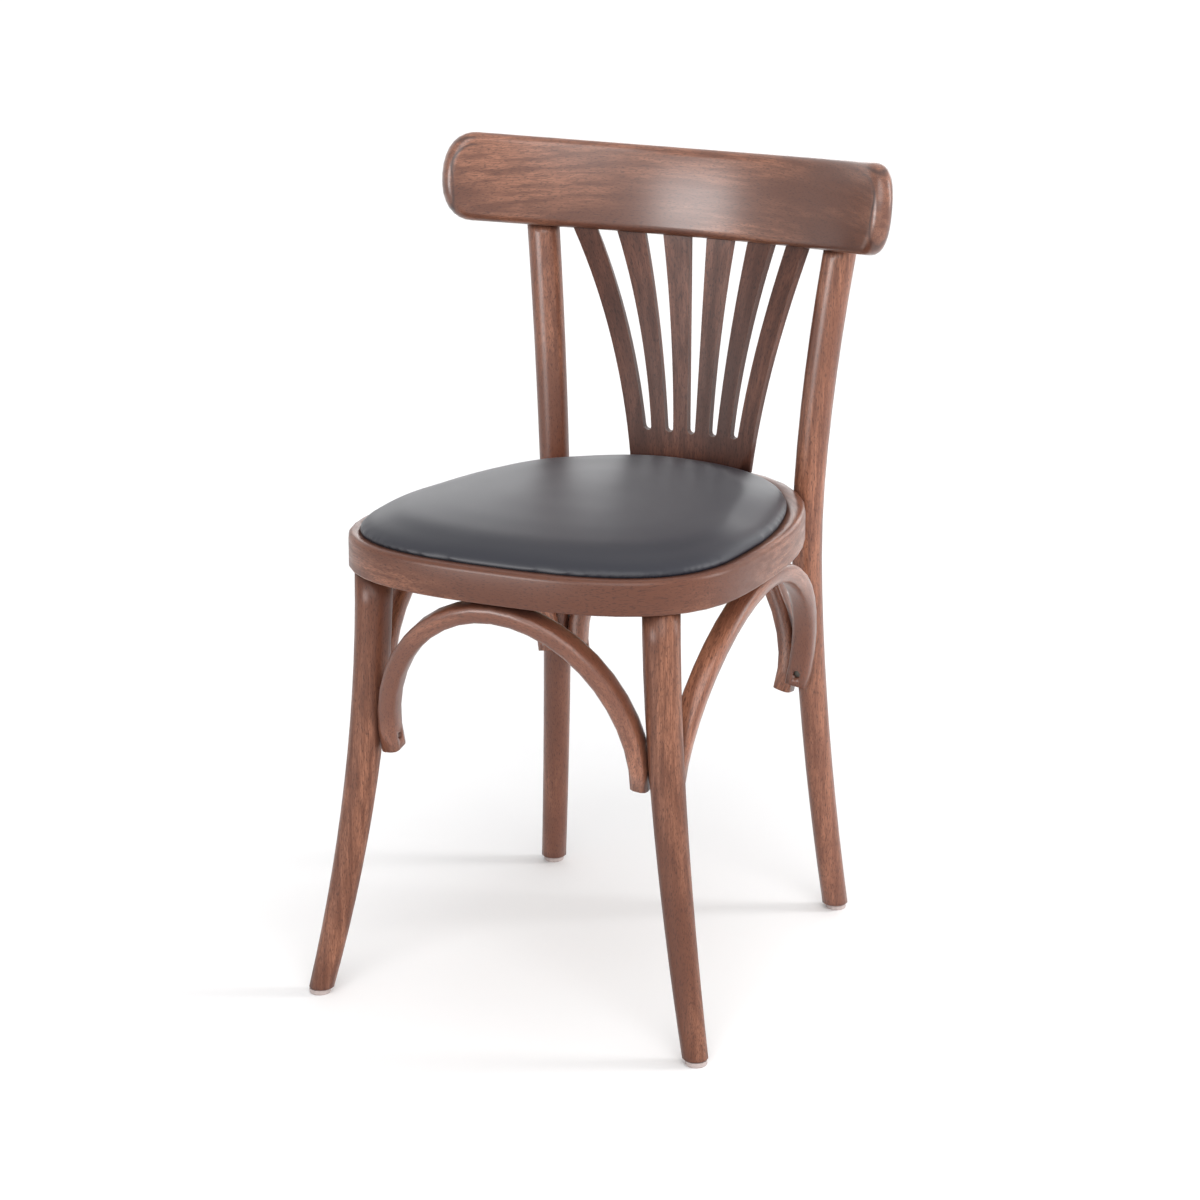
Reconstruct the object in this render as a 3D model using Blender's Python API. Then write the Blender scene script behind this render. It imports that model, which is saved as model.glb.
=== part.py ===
# Bentwood dining chair with a fan back and a drop-in upholstered seat
#
# Metres, +Z up. The chair faces -Y, and +X is on the sitter's left. The origin is on the floor
# under the middle of the chair. Legs, posts and arches are lofted along formula curves, the seat
# ring is one moulding swept round the seat, and the crest rail is a rounded board on a leaning
# cylinder. Every joint is cut from the same values as the piece that sits in it.

import math

import bmesh
import bpy
from mathutils import Vector

# Fits
GAP = 0.0003
CUT_BEYOND = 0.003
MERGE = 0.00001

# Seat ring, a bent beech moulding with a rabbet for the seat
SEAT_BOTTOM_Z = 0.4278
SEAT_FALL = 0.0105
RING_HEIGHT = 0.034
RING_WIDTH = 0.036
RING_HALF_WIDTH = 0.1995
RING_WIDEST_Y = -0.0912
RING_FRONT_DEPTH = 0.1558
RING_BEHIND_WAIST = 0.0450
RING_FRONT_POWER = 2.76
RING_REAR_POWER = 2.39
RING_TOP_ROUND = 0.005
RING_BOTTOM_ROUND = 0.003
RIM_WIDTH = 0.012
REAR_RIM_WIDTH = 0.0265
RABBET_DEPTH = 0.012
SEAT_STEPS = 56

# Drop-in seat
BOARD_THICKNESS = 0.009
COVER_THICKNESS = 0.0012
COVER_CLEARANCE = 0.0006
PAD_BULGE = 0.003
PAD_BULGE_HEIGHT = 0.0045
PAD_CROWN = 0.0235
PAD_POWER = 1.9
PAD_CENTRE_Y = -0.028

# Front legs
LEG_TOP_X = 0.1505
LEG_TOP_Y = -0.1892
LEG_SIDE_SPLAY = 0.0518
LEG_FRONT_SPLAY = 0.0294
LEG_SIDE_BEND = 1.82
LEG_FRONT_BEND = 2.1
LEG_TOP_RADIUS = 0.0182
LEG_FOOT_RADIUS = 0.0124
LEG_TAPER_BEND = 1.6
LEG_TENON_RADIUS = 0.011
LEG_TENON_LENGTH = 0.018

# Rear posts, each one piece from the floor to the crest rail
POST_FOOT_X = 0.1640
POST_WAIST_X = 0.1406
POST_HEAD_X = 0.1686
POST_SIDE_WAIST_DROP = 0.0333
POST_SIDE_BEND = 1.68
POST_WAIST_Y = 0.1773
POST_FOOT_RAKE = 0.0385
POST_HEAD_RAKE = 0.0239
POST_REAR_WAIST_RISE = 0.0157
POST_REAR_BEND = 1.58
POST_FOOT_RADIUS = 0.0133
POST_HEAD_RADIUS = 0.0170
POST_HEAD_ABOVE_CREST_EDGE = 0.0444
POST_BELOW_CREST_TOP = 0.014
POST_TOP_ROUND = 0.006

# Round stock
LEG_SIDES = 14
LEG_STATIONS = 14
POST_STATIONS = 20
FOOT_CHAMFER = 0.0015

# Glides under the four feet
GLIDE_HEIGHT = 0.005
GLIDE_RADIUS = 0.0105
GLIDE_PIN_RADIUS = 0.0022
GLIDE_PIN_LENGTH = 0.014
GLIDE_CHAMFER = 0.001
GLIDE_SIDES = 12

# Crest rail, a bent board that leans back
CREST_RADIUS = 0.301
CREST_HALF_LENGTH = 0.2611
CREST_HEIGHT = 0.0892
CREST_THICKNESS = 0.022
CREST_BEHIND_WAIST = 0.0340
CREST_ABOVE_SEAT = 0.2303
CREST_LEAN = math.radians(10.0)
CREST_END_LENGTH = 0.032
CREST_END_POWER = 2.2
CREST_EDGE_ROUND = 0.009
CREST_STEPS = 11
CREST_END_STEPS = 8
CREST_EDGE_STEPS = 4

# Fan splat, bent plywood with five slots
SPLAT_THICKNESS = 0.0085
SPLAT_BEHIND_WAIST = 0.0244
SPLAT_SEAT_RADIUS = 1.15
SPLAT_WAIST_HALF_WIDTH = 0.0615
SPLAT_WAIST_BELOW_SEAT = 0.0863
SPLAT_TOP_HALF_WIDTH = 0.1264
SLOT_COUNT = 5
SLOT_WAIST_PITCH = 0.0216
SLOT_WAIST_BELOW_SEAT = 0.0623
SLOT_TOP_PITCH = 0.0470
SLOT_ABOVE_SEAT = 0.0292
SLOT_BOTTOM_WIDTH = 0.0085
SLOT_SPREAD = 0.052
SLOT_ABOVE_CREST_EDGE = 0.004
SPLAT_GROOVE_DEPTH = 0.014
SPLAT_TENON_LENGTH = 0.015
SPLAT_ROWS = 14
SPLAT_GROOVE_STEPS = 24

# Arches between the legs under the seat
ARCH_THICKNESS = 0.0185
ARCH_DEPTH = 0.023
ARCH_ROUND = 0.0055
ARCH_FOOT_DROP = 0.1730
REAR_ARCH_FOOT_DROP = 0.1863
ARCH_WIDEST_DROP = 0.1573
FRONT_ARCH_POWER = 1.97
SIDE_ARCH_POWER = 1.88
REAR_ARCH_POWER = 1.8
ARCH_STEPS = 22
ARCH_SEAT_REACH = 0.03
ARCH_SEAT_BELOW_FOOT = 0.004
SIDE_ARCH_INSET = 0.003

# Fasteners
SCREW_SHANK = 0.0020
SCREW_HEAD = 0.0040
SCREW_HEAD_DEPTH = 0.0030
SCREW_HEAD_RIM = 0.0008
SCREW_POINT = 0.003
SCREW_HOLE_BEYOND = 0.03
SCREW_SIDES = 6
FOOT_SCREW_ABOVE_FOOT = 0.0135
FOOT_SCREW_LENGTH = 0.024
FOOT_SCREW_SINK = 0.0035
CROWN_SCREW_LENGTH = 0.029
CROWN_SCREW_SINK = 0.003
SEAT_SCREW_LENGTH = 0.026
SEAT_SCREW_SINK = 0.0015
SEAT_SCREW_ANGLES = (-62, -118, 22, 158)
CREST_SCREW_LENGTH = 0.036
CREST_SCREW_SINK = 0.004
CREST_SCREW_HEIGHTS = (0.024, 0.058)
BOLT_SIDES = 12
BOLT_SHANK = 0.0035
BOLT_HEAD = 0.0085
BOLT_HEAD_DEPTH = 0.0045
BOLT_SINK = 0.002
BOLT_POINT = 0.003
BOLT_HOLE_BEYOND = 0.02
BOLT_INTO_POST = 0.016

UP = Vector((0, 0, 1))

# Places worked out from the sizes above
RING_TOP_Z = SEAT_BOTTOM_Z + RING_HEIGHT
LEDGE_Z = RING_TOP_Z - RABBET_DEPTH
RING_REAR_DEPTH = POST_WAIST_Y + RING_BEHIND_WAIST - RING_WIDEST_Y
SEAT_FRONT_Y = RING_WIDEST_Y - RING_FRONT_DEPTH
POST_FOOT_Y = POST_WAIST_Y + POST_FOOT_RAKE
POST_HEAD_Y = POST_WAIST_Y + POST_HEAD_RAKE
POST_SIDE_WAIST_Z = SEAT_BOTTOM_Z - POST_SIDE_WAIST_DROP
POST_REAR_WAIST_Z = SEAT_BOTTOM_Z + POST_REAR_WAIST_RISE
CREST_BOTTOM_Y = POST_WAIST_Y + CREST_BEHIND_WAIST
CREST_BOTTOM_Z = RING_TOP_Z + CREST_ABOVE_SEAT
POST_HEAD_Z = CREST_BOTTOM_Z + POST_HEAD_ABOVE_CREST_EDGE
SPLAT_SEAT_Y = POST_WAIST_Y + SPLAT_BEHIND_WAIST
SPLAT_WAIST_Z = RING_TOP_Z - SPLAT_WAIST_BELOW_SEAT
SLOT_WAIST_Z = RING_TOP_Z - SLOT_WAIST_BELOW_SEAT
SLOT_BOTTOM_Z = RING_TOP_Z + SLOT_ABOVE_SEAT
ARCH_FOOT_Z = SEAT_BOTTOM_Z - ARCH_FOOT_DROP
REAR_ARCH_FOOT_Z = SEAT_BOTTOM_Z - REAR_ARCH_FOOT_DROP
ARCH_WIDEST_Z = SEAT_BOTTOM_Z - ARCH_WIDEST_DROP

# Colour, roughness and metallic value of each finish
FINISHES = {
    "stained_beech": ((0.165, 0.068, 0.038, 1), 0.42, 0.0),
    "stained_plywood": ((0.075, 0.030, 0.020, 1), 0.45, 0.0),
    "seat_plywood": ((0.48, 0.33, 0.19, 1), 0.7, 0.0),
    "seat_foam": ((0.72, 0.68, 0.56, 1), 0.95, 0.0),
    "black_leatherette": ((0.020, 0.021, 0.024, 1), 0.48, 0.0),
    "white_plastic": ((0.78, 0.78, 0.76, 1), 0.4, 0.0),
    "dark_steel": ((0.10, 0.09, 0.08, 1), 0.45, 1.0),
}


# Objects and materials


def clear_scene():
    for obj in list(bpy.data.objects):
        bpy.data.objects.remove(obj, do_unlink=True)


def finish(name):
    material = bpy.data.materials.get(name)
    if material:
        return material
    colour, roughness, metallic = FINISHES[name]
    material = bpy.data.materials.new(name)
    material.use_nodes = True
    shader = material.node_tree.nodes["Principled BSDF"]
    shader.inputs["Base Color"].default_value = colour
    shader.inputs["Roughness"].default_value = roughness
    shader.inputs["Metallic"].default_value = metallic
    material.diffuse_color = colour
    return material


def make_object(name, bm, material_name, sharp_angle=40):
    bmesh.ops.remove_doubles(bm, verts=bm.verts, dist=MERGE)
    bmesh.ops.dissolve_degenerate(bm, edges=bm.edges, dist=MERGE)
    bmesh.ops.recalc_face_normals(bm, faces=bm.faces)
    if bm.calc_volume(signed=True) < 0:
        bmesh.ops.reverse_faces(bm, faces=bm.faces)
    mesh = bpy.data.meshes.new(name)
    bm.to_mesh(mesh)
    bm.free()
    mesh.shade_smooth()
    mesh.set_sharp_from_angle(angle=math.radians(sharp_angle))
    obj = bpy.data.objects.new(name, mesh)
    bpy.context.scene.collection.objects.link(obj)
    if material_name:
        obj.data.materials.append(finish(material_name))
    return obj


def as_cutter(obj):
    obj.hide_render = True
    obj.display_type = "WIRE"
    return obj


def cut(obj, cutter):
    modifier = obj.modifiers.new("cut_" + cutter.name, "BOOLEAN")
    modifier.operation = "DIFFERENCE"
    modifier.solver = "EXACT"
    modifier.object = cutter


# Lofts and turned shapes


def loft(rings):
    """A closed body through rings of points, each ring with the same count."""
    bm = bmesh.new()
    rows = [[bm.verts.new(point) for point in ring] for ring in rings]
    count = len(rows[0])
    for lower, upper in zip(rows, rows[1:]):
        for i in range(count):
            j = (i + 1) % count
            bm.faces.new((lower[i], lower[j], upper[j], upper[i]))
    bm.faces.new(rows[0])
    bm.faces.new(rows[-1])
    return bm


def circle(centre, radius, sides, side=Vector((1, 0, 0)), other=Vector((0, 1, 0))):
    turns = [2 * math.pi * (i + 0.5) / sides for i in range(sides)]
    return [centre + radius * (math.cos(t) * side + math.sin(t) * other) for t in turns]


def turned(start, axis, profile, sides):
    """A turned body from (distance along the axis, radius) pairs."""
    axis = axis.normalized()
    side = axis.orthogonal().normalized()
    other = axis.cross(side)
    rings = [circle(start + along * axis, radius, sides, side, other) for along, radius in profile]
    return loft(rings)


def block(low, high, origin, x_axis, y_axis, z_axis):
    """A box between two corners given in its own axes."""
    corners = []
    for z in (low[2], high[2]):
        ring = [(low[0], low[1]), (high[0], low[1]), (high[0], high[1]), (low[0], high[1])]
        corners.append([origin + x * x_axis + y * y_axis + z * z_axis for x, y in ring])
    return loft(corners)


# Seat ring outline


def seat_drop(y):
    """How far the seat has fallen below its front edge, which is its highest line."""
    return SEAT_FALL * (y - SEAT_FRONT_Y)


def ring_radius(angle):
    c, s = math.cos(angle), math.sin(angle)
    depth = RING_REAR_DEPTH if s > 0 else RING_FRONT_DEPTH
    power = RING_REAR_POWER if s > 0 else RING_FRONT_POWER
    return (abs(c / RING_HALF_WIDTH) ** power + abs(s / depth) ** power) ** (-1 / power)


def ring_point(angle, inset=0.0, z=0.0):
    """A point of the seat's outline, moved inwards square to the outline.

    The height is the one it would have at the seat's front edge.
    """
    radius = ring_radius(angle)
    step = 0.001
    ahead = ring_radius(angle + step)
    behind = ring_radius(angle - step)
    a = Vector((ahead * math.cos(angle + step), ahead * math.sin(angle + step), 0))
    b = Vector((behind * math.cos(angle - step), behind * math.sin(angle - step), 0))
    tangent = (a - b).normalized()
    inward = Vector((-tangent.y, tangent.x, 0))
    point = Vector((radius * math.cos(angle), RING_WIDEST_Y + radius * math.sin(angle), z))
    point += inset * inward
    point.z -= seat_drop(point.y)
    return point


def ring_inward(angle):
    inward = ring_point(angle, RING_WIDTH) - ring_point(angle)
    inward.z = 0
    return inward.normalized()


def ring_angle_of(x, y):
    """The outline angle whose normal passes through a point outside or inside the ring."""
    angle = math.atan2(y - RING_WIDEST_Y, x)
    for _ in range(30):
        offset = Vector((x, y, 0)) - ring_point(angle)
        inward = ring_inward(angle)
        along = offset.dot(Vector((inward.y, -inward.x, 0)))
        angle += along / ring_radius(angle)
    return angle


def outline_loop(inset, z, steps):
    return [ring_point(2 * math.pi * (i + 0.5) / steps, inset, z) for i in range(steps)]


def rim_width(angle):
    """The flat rim beside the seat, wider at the back where the splat stands in it."""
    back = max(math.sin(angle), 0) ** 2
    return RIM_WIDTH + (REAR_RIM_WIDTH - RIM_WIDTH) * back


def rim_loop(beyond, z, steps):
    """The rim's inner edge, or a line a distance further in."""
    turns = [2 * math.pi * (i + 0.5) / steps for i in range(steps)]
    return [ring_point(t, rim_width(t) + beyond, z) for t in turns]


def ring_section(rim):
    """(inset, height) pairs of the moulding, round its section."""
    points = [(RING_WIDTH, 0.0)]
    for i in range(4):
        t = math.radians(90 * i / 3)
        across = RING_BOTTOM_ROUND * (1 - math.sin(t))
        points.append((across, RING_BOTTOM_ROUND * (1 - math.cos(t))))
    for i in range(5):
        t = math.radians(90 * i / 4)
        across = RING_TOP_ROUND * (1 - math.cos(t))
        points.append((across, RING_HEIGHT - RING_TOP_ROUND * (1 - math.sin(t))))
    points.append((rim, RING_HEIGHT))
    points.append((rim, RING_HEIGHT - RABBET_DEPTH))
    points.append((RING_WIDTH, RING_HEIGHT - RABBET_DEPTH))
    return points


def seat_ring():
    bm = bmesh.new()
    sections = []
    for i in range(SEAT_STEPS):
        angle = 2 * math.pi * (i + 0.5) / SEAT_STEPS
        pairs = ring_section(rim_width(angle))
        points = [ring_point(angle, inset, SEAT_BOTTOM_Z + height) for inset, height in pairs]
        sections.append([bm.verts.new(point) for point in points])
    count = len(sections[0])
    for i, section in enumerate(sections):
        following = sections[(i + 1) % SEAT_STEPS]
        for k in range(count):
            m = (k + 1) % count
            bm.faces.new((section[k], following[k], following[m], section[m]))
    return make_object("seat_ring", bm, "stained_beech", 35)


# Seat pad


def pad_loop(share, beyond, z):
    """A line inside the rim's edge, drawn towards the pad's middle to a share of its size."""
    middle = Vector((0, PAD_CENTRE_Y, z - seat_drop(PAD_CENTRE_Y)))
    return [middle + share * (p - middle) for p in rim_loop(beyond, z, SEAT_STEPS)]


def pad_rings(shrink, bottom_z, edge_steps, crown_steps):
    """Rings of the pad's surface from its lower edge to its crown, all drawn in by shrink."""
    skirt = COVER_CLEARANCE + shrink
    bulge = shrink - PAD_BULGE
    under = COVER_CLEARANCE + shrink
    rings = [pad_loop(1, skirt, bottom_z)]
    for i in range(edge_steps + 1):
        t = math.radians(90 * i / edge_steps)
        beyond = skirt + (bulge - skirt) * math.sin(t)
        height = under + (PAD_BULGE_HEIGHT - under) * (1 - math.cos(t))
        rings.append(pad_loop(1, beyond, RING_TOP_Z + height))
    rise = PAD_CROWN - shrink - PAD_BULGE_HEIGHT
    for i in range(1, crown_steps + 1):
        t = math.radians(90 * i / (crown_steps + 0.3))
        share = math.cos(t) ** (2 / PAD_POWER)
        height = PAD_BULGE_HEIGHT + rise * math.sin(t) ** (2 / PAD_POWER)
        rings.append(pad_loop(share, bulge, RING_TOP_Z + height))
    return rings


def seat_pad():
    board_bottom = LEDGE_Z + GAP
    board_top = board_bottom + BOARD_THICKNESS
    beyond = COVER_CLEARANCE + COVER_THICKNESS + GAP
    board = loft([pad_loop(1, beyond, z) for z in (board_bottom, board_top)])
    make_object("seat_board", board, "seat_plywood")

    outside = pad_rings(0.0, board_bottom, 3, 8)
    inside = pad_rings(COVER_THICKNESS, board_bottom, 2, 5)
    make_object("cushion_cover", loft(inside[::-1] + outside), "black_leatherette", 60)

    foam = pad_rings(COVER_THICKNESS + GAP, board_top + GAP, 2, 5)
    make_object("cushion_foam", loft(foam), "seat_foam", 60)


# Legs and posts


def leg_centre(side, z):
    share = 1 - z / SEAT_BOTTOM_Z
    x = LEG_TOP_X + LEG_SIDE_SPLAY * share**LEG_SIDE_BEND
    y = LEG_TOP_Y - LEG_FRONT_SPLAY * share**LEG_FRONT_BEND
    return Vector((side * x, y, z))


def leg_shoulder_z():
    return SEAT_BOTTOM_Z - GAP - seat_drop(LEG_TOP_Y)


def leg_radius(z):
    share = 1 - z / SEAT_BOTTOM_Z
    return LEG_TOP_RADIUS - (LEG_TOP_RADIUS - LEG_FOOT_RADIUS) * share**LEG_TAPER_BEND


def bowed(z, foot, waist, head, waist_z, bend):
    """A post's sweep: out at the foot, in at the waist, out again at the head."""
    if z < waist_z:
        return waist + (foot - waist) * ((waist_z - z) / waist_z) ** bend
    return waist + (head - waist) * ((z - waist_z) / (POST_HEAD_Z - waist_z)) ** bend


def post_centre(side, z):
    x = bowed(z, POST_FOOT_X, POST_WAIST_X, POST_HEAD_X, POST_SIDE_WAIST_Z, POST_SIDE_BEND)
    y = bowed(z, POST_FOOT_Y, POST_WAIST_Y, POST_HEAD_Y, POST_REAR_WAIST_Z, POST_REAR_BEND)
    return Vector((side * x, y, z))


def post_radius(z):
    return POST_FOOT_RADIUS + (POST_HEAD_RADIUS - POST_FOOT_RADIUS) * z / POST_HEAD_Z


def foot_rings(centre, radius, sides):
    """The chamfered end of a leg, just above its glide."""
    low = GLIDE_HEIGHT + GAP
    high = low + FOOT_CHAMFER
    end = circle(centre(low), radius(low) - FOOT_CHAMFER, sides)
    return [end, circle(centre(high), radius(high), sides)]


def front_leg(side, name):
    rings = foot_rings(lambda z: leg_centre(side, z), leg_radius, LEG_SIDES)
    low = GLIDE_HEIGHT + GAP + FOOT_CHAMFER
    shoulder = leg_shoulder_z()
    for i in range(1, LEG_STATIONS + 1):
        z = low + (shoulder - low) * i / LEG_STATIONS
        rings.append(circle(leg_centre(side, z), leg_radius(z), LEG_SIDES))
    axis = leg_centre(side, shoulder)
    rings.append(circle(axis, LEG_TENON_RADIUS, LEG_SIDES))
    for point in rings[-1] + rings[-2]:
        point.z = SEAT_BOTTOM_Z - GAP - seat_drop(point.y)
    rings.append(circle(axis + UP * LEG_TENON_LENGTH, LEG_TENON_RADIUS, LEG_SIDES))
    return make_object(name, loft(rings), "stained_beech")


def cut_tenon_socket(ring, leg_side, name):
    axis = leg_centre(leg_side, leg_shoulder_z())
    radius = LEG_TENON_RADIUS + GAP
    heights = (-CUT_BEYOND, LEG_TENON_LENGTH + GAP)
    socket = [circle(axis + UP * z, radius, LEG_SIDES) for z in heights]
    cut(ring, as_cutter(make_object("socket_" + name, loft(socket), None)))


def rear_post(side, name):
    rings = foot_rings(lambda z: post_centre(side, z), post_radius, LEG_SIDES)
    low = GLIDE_HEIGHT + GAP + FOOT_CHAMFER
    top = post_top_z()
    for i in range(1, POST_STATIONS + 1):
        z = low + (top - POST_TOP_ROUND - low) * i / POST_STATIONS
        rings.append(circle(post_centre(side, z), post_radius(z), LEG_SIDES))
    for t in (40, 75):
        z = top - POST_TOP_ROUND * (1 - math.sin(math.radians(t)))
        radius = post_radius(z) - POST_TOP_ROUND * (1 - math.cos(math.radians(t)))
        rings.append(circle(post_centre(side, z), radius, LEG_SIDES))
    return make_object(name, loft(rings), "stained_beech")


def seat_notch(post, name):
    """The hollow in a post that the seat ring bears in."""
    low = SEAT_BOTTOM_Z - GAP
    high = RING_TOP_Z + GAP
    hollow = loft([outline_loop(-GAP, z, SEAT_STEPS) for z in (low, high)])
    cut(post, as_cutter(make_object("notch_" + name, hollow, None)))


# Crest rail


def crest_point(arc, depth, height):
    """A point of the rail: along its front face, back into its thickness, up from its lower edge."""
    back = Vector((0, math.cos(CREST_LEAN), -math.sin(CREST_LEAN)))
    rise = Vector((0, math.sin(CREST_LEAN), math.cos(CREST_LEAN)))
    origin = Vector((0, CREST_BOTTOM_Y, CREST_BOTTOM_Z))
    angle = arc / CREST_RADIUS
    radius = CREST_RADIUS + depth
    x = radius * math.sin(angle)
    return origin + Vector((x, 0, 0)) + (radius * math.cos(angle) - CREST_RADIUS) * back + height * rise


def crest_half_height(arc):
    past = abs(arc) - (CREST_HALF_LENGTH - CREST_END_LENGTH)
    if past <= 0:
        return CREST_HEIGHT / 2
    share = min(past / CREST_END_LENGTH, 1)
    return CREST_HEIGHT / 2 * (1 - share**CREST_END_POWER) ** (1 / CREST_END_POWER)


def crest_stations():
    """Arc positions along half the rail, close together round its end."""
    straight = CREST_HALF_LENGTH - CREST_END_LENGTH
    half = [straight * i / CREST_STEPS for i in range(CREST_STEPS)]
    for i in range(CREST_END_STEPS + 1):
        half.append(straight + CREST_END_LENGTH * math.sin(math.pi / 2 * i / CREST_END_STEPS))
    return [-s for s in half[:0:-1]] + half


def crest_outline(grow):
    """The rail's flat outline as (arc, height) pairs, with the inward direction at each."""
    arcs = crest_stations()
    top = [(s, crest_half_height(s)) for s in arcs]
    bottom = [(s, -crest_half_height(s)) for s in arcs[-2:0:-1]]
    outline = top + bottom
    count = len(outline)
    result = []
    for i, (s, h) in enumerate(outline):
        before = outline[i - 1]
        after = outline[(i + 1) % count]
        tangent = Vector((after[0] - before[0], after[1] - before[1])).normalized()
        inward = Vector((tangent.y, -tangent.x))
        result.append((Vector((s, h)) - grow * inward, inward))
    return result


def crest_body(grow=0.0):
    outline = crest_outline(grow)
    rows = []
    quarter = [math.pi / 2 * i / CREST_EDGE_STEPS for i in range(CREST_EDGE_STEPS + 1)]
    edge = CREST_EDGE_ROUND
    steps = [(edge * (1 - math.sin(t)), edge * (1 - math.cos(t)) - grow) for t in quarter]
    rear = CREST_THICKNESS + grow
    steps += [(edge * (1 - math.cos(t)), rear - edge * (1 - math.sin(t))) for t in quarter]
    bm = bmesh.new()
    for inset, depth in steps:
        row = []
        for point, inward in outline:
            flat = point + inset * inward
            row.append(bm.verts.new(crest_point(flat.x, depth, CREST_HEIGHT / 2 + flat.y)))
        rows.append(row)
    count = len(outline)
    for front, behind in zip(rows, rows[1:]):
        for i in range(count):
            j = (i + 1) % count
            bm.faces.new((front[i], front[j], behind[j], behind[i]))
    last = (count + 2) // 2 - 1
    for row in (rows[0], rows[-1]):
        bm.faces.new((row[0], row[1], row[count - 1]))
        bm.faces.new((row[last], row[last - 1], row[last + 1]))
        for i in range(1, last - 1):
            bm.faces.new((row[i], row[i + 1], row[count - i - 1], row[count - i]))
    return bm


def crest_arc_at(x):
    """The arc position at which the middle of the rail's thickness has this x."""
    return CREST_RADIUS * math.asin(x / (CREST_RADIUS + CREST_THICKNESS / 2))


def post_top_z():
    arc = crest_arc_at(POST_HEAD_X)
    return crest_point(arc, CREST_THICKNESS, CREST_HEIGHT).z - POST_BELOW_CREST_TOP


# Fan splat


def splat_half_width(z):
    rise = (z - SPLAT_WAIST_Z) / (CREST_BOTTOM_Z - SPLAT_WAIST_Z)
    return SPLAT_WAIST_HALF_WIDTH + (SPLAT_TOP_HALF_WIDTH - SPLAT_WAIST_HALF_WIDTH) * rise**2


def slot_centre(index, z):
    rise = (z - SLOT_WAIST_Z) / (CREST_BOTTOM_Z - SLOT_WAIST_Z)
    pitch = SLOT_WAIST_PITCH + (SLOT_TOP_PITCH - SLOT_WAIST_PITCH) * rise**2
    return (index - (SLOT_COUNT - 1) / 2) * pitch


def splat_foot_z():
    return RING_TOP_Z + GAP - seat_drop(SPLAT_SEAT_Y)


def slot_half_width(z):
    """Half a slot's width, which closes in a half circle at its foot."""
    half = (SLOT_BOTTOM_WIDTH + SLOT_SPREAD * (z - SLOT_BOTTOM_Z)) / 2
    end = SLOT_BOTTOM_WIDTH / 2
    above = z - SLOT_BOTTOM_Z
    if above <= 0:
        return 0.0
    if above < end:
        return math.sqrt(end**2 - (end - above) ** 2)
    return half


def splat_edges(z):
    """The x of every edge from left to right: outline, each slot's two sides, outline."""
    edges = [-splat_half_width(z)]
    for index in range(SLOT_COUNT):
        centre = slot_centre(index, z)
        edges.append(centre - slot_half_width(z))
        edges.append(centre + slot_half_width(z))
    edges.append(splat_half_width(z))
    return edges


def splat_groove_depth():
    return (CREST_THICKNESS - SPLAT_THICKNESS) / 2


def splat_seat_point(x, depth=0.0):
    """The splat where it stands on the ring: its front face, or a depth behind that face."""
    radius = SPLAT_SEAT_RADIUS + depth
    angle = math.asin(x / SPLAT_SEAT_RADIUS)
    y = SPLAT_SEAT_Y + radius * math.cos(angle) - SPLAT_SEAT_RADIUS
    return Vector((radius * math.sin(angle), y, splat_foot_z()))


def splat_crest_point(x, depth=0.0, above=0.0):
    """The splat where it enters the rail, or a height further up in the groove."""
    inset = splat_groove_depth()
    arc = CREST_RADIUS * math.asin(x / (CREST_RADIUS + inset))
    return crest_point(arc, inset + depth, above)


def splat_point(x, share, depth=0.0):
    low = splat_seat_point(x, depth)
    return low + (splat_crest_point(x, depth) - low) * share


def splat_across(z):
    """Points along one row, with two more on every slat, and a mark where a slot begins."""
    edges = splat_edges(z)
    xs = []
    for i in range(0, len(edges), 2):
        for share in (0, 1 / 3, 2 / 3, 1):
            xs.append(edges[i] + (edges[i + 1] - edges[i]) * share)
    return xs


def splat_heights():
    """The height of every row of points, close together round the feet of the slots."""
    seat_z = splat_foot_z()
    end = SLOT_BOTTOM_WIDTH / 2
    heights = [seat_z, (seat_z + SLOT_BOTTOM_Z) / 2, SLOT_BOTTOM_Z]
    heights += [SLOT_BOTTOM_Z + end * (1 - math.cos(math.radians(a))) for a in (35, 65, 90)]
    start = heights[-1]
    heights += [start + (CREST_BOTTOM_Z - start) * i / SPLAT_ROWS for i in range(1, SPLAT_ROWS + 1)]
    return heights


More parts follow.
